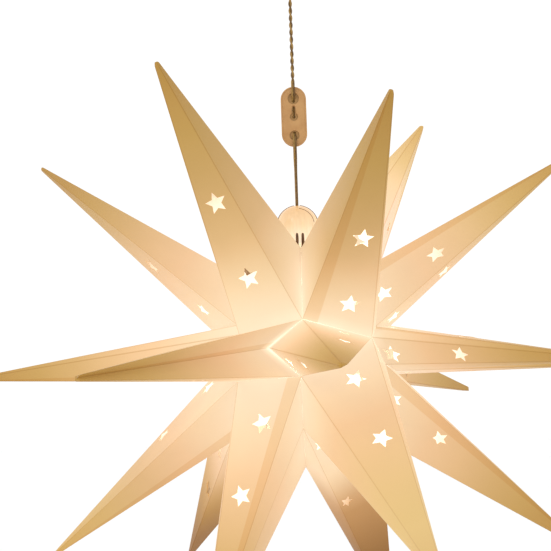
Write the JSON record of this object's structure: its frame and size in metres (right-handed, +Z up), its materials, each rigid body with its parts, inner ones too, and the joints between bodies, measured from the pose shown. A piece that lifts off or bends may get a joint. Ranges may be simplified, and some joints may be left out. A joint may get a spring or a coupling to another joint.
{
  "type": "hanging star lantern",
  "caption": "Lit hanging star lantern of folded translucent points with punched stars, on a flex with an oval hanger plate and a ceiling rose.",
  "frame": {"origin": "middle of the ceiling rose's flat back face, on the ceiling", "axes": "+Z up into the ceiling, -Y towards the viewer of the star's front, +X to the right; the flex hangs along -Z"},
  "size_m": [0.5994, 0.601, 0.6476],
  "materials": {
    "film": "satin translucent film, lit from inside",
    "flex": "satin twin flex",
    "hanger_plate": "satin",
    "clear_cap": "translucent, glossy",
    "white_plastic": "satin",
    "spring_steel": "browned",
    "nickel": "plated",
    "brass": "plain",
    "frosted_globe": "frosted, lit"
  },
  "bodies": {
    "ceiling": {"rose_base": "white_plastic", "rose_screw_1": "nickel", "rose_screw_2": "nickel", "terminal_block": "white_plastic"},
    "cover": {"rose_cover": "white_plastic", "cord_grip": "clear_cap"},
    "pendant": {"flex": "flex"},
    "hanger": {"hanger_plate": "hanger_plate"},
    "lamp": {"holder_cap": "clear_cap", "lampholder": "white_plastic", "holder_contact": "brass"},
    "ring": {"shade_ring": "white_plastic"},
    "bulb": {"bulb_base": "nickel", "bulb_globe": "frosted_globe", "led_stem": "white_plastic"},
    "shade": {"shade_carrier": "spring_steel", "mouth_clip_1": "spring_steel", "mouth_clip_2": "spring_steel", "mouth_clip_3": "spring_steel", "mouth_clip_4": "spring_steel", "point_01": "film", "point_02": "film", "point_03": "film", "point_04": "film", "point_05": "film", "point_06": "film", "point_07": "film", "point_08": "film", "point_09": "film", "point_10": "film", "point_11": "film", "point_12": "film", "point_13": "film", "point_14": "film", "point_15": "film", "point_16": "film", "point_17": "film", "point_18": "film", "point_19": "film", "point_20": "film"}
  },
  "joints": [
    {"name": "cover_slide", "type": "slide", "parent": "ceiling", "child": "cover", "axis": [0, 0, -1], "range_m": [0, 0.045]},
    {"name": "flex_swing", "type": "hinge", "parent": "ceiling", "child": "pendant", "pos_m": [0, 0, -0.0395], "axis": [0, 1, 0], "range_deg": [-20, 20], "deforming": ["flex"]},
    {"name": "plate_slide", "type": "slide", "parent": "pendant", "child": "hanger", "axis": [0, 0, 1], "range_m": [-0.018, 0.022], "deforming": ["flex"]},
    {"name": "star_nod", "type": "hinge", "parent": "pendant", "child": "lamp", "pos_m": [0, 0, -0.238], "axis": [1, 0, 0], "range_deg": [-15, 15], "deforming": ["flex"]},
    {"name": "ring_turn", "type": "hinge", "parent": "lamp", "child": "ring", "pos_m": [0, 0, -0.2835], "axis": [0, 0, 1], "continuous": true},
    {"name": "bulb_turn", "type": "hinge", "parent": "lamp", "child": "bulb", "pos_m": [0, 0, -0.2925], "axis": [0, 0, 1], "continuous": true},
    {"name": "shade_turn", "type": "hinge", "parent": "lamp", "child": "shade", "pos_m": [0, 0, -0.2778], "axis": [0, 0, 1], "continuous": true}
  ]
}
